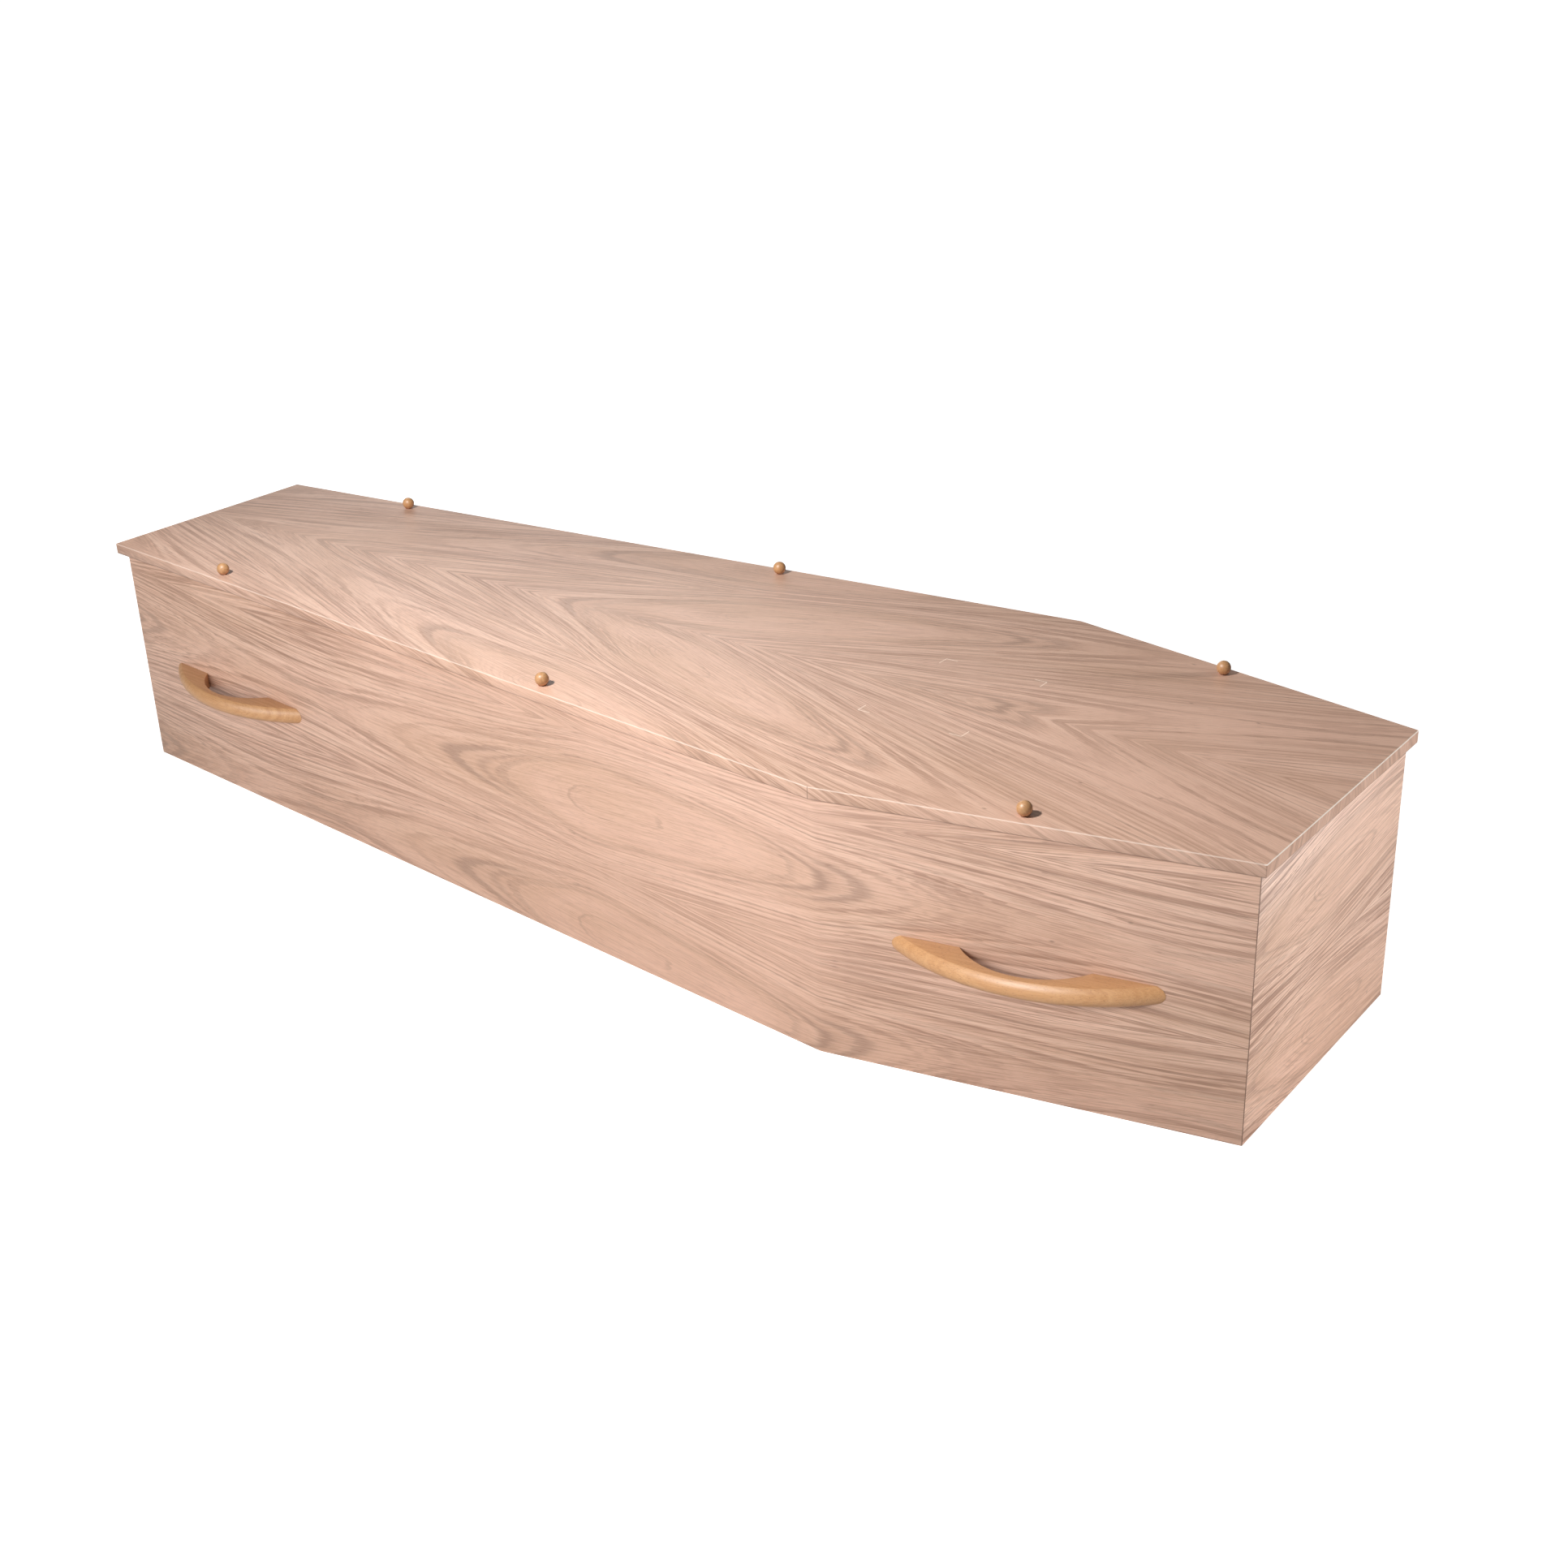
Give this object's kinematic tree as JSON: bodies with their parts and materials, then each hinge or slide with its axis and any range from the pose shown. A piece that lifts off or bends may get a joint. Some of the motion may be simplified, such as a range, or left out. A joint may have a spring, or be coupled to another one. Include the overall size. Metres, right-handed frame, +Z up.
{
  "type": "wooden coffin",
  "caption": "Tapered six-sided wooden coffin with a flat overhanging lid, ball knobs over the lid screws and bow handles on the long sides; hollow and empty.",
  "frame": {"origin": "on the floor, under the middle of the lid's length and width", "axes": "+X along the length towards the head end, +Y to the left of someone looking from foot to head, +Z up"},
  "size_m": [1.93, 0.617, 0.3717],
  "materials": {
    "oak_board": "satin",
    "beech": "satin"
  },
  "bodies": {
    "root": {"lid": "oak_board", "base_board": "oak_board", "left_side_board": "oak_board", "right_side_board": "oak_board", "foot_end_board": "oak_board", "head_end_board": "oak_board", "handle_left_foot": "beech", "handle_left_head": "beech", "handle_right_foot": "beech", "handle_right_head": "beech", "lid_knob_left_foot": "beech", "lid_knob_left_middle": "beech", "lid_knob_left_head": "beech", "lid_knob_right_foot": "beech", "lid_knob_right_middle": "beech", "lid_knob_right_head": "beech"}
  },
  "joints": []
}
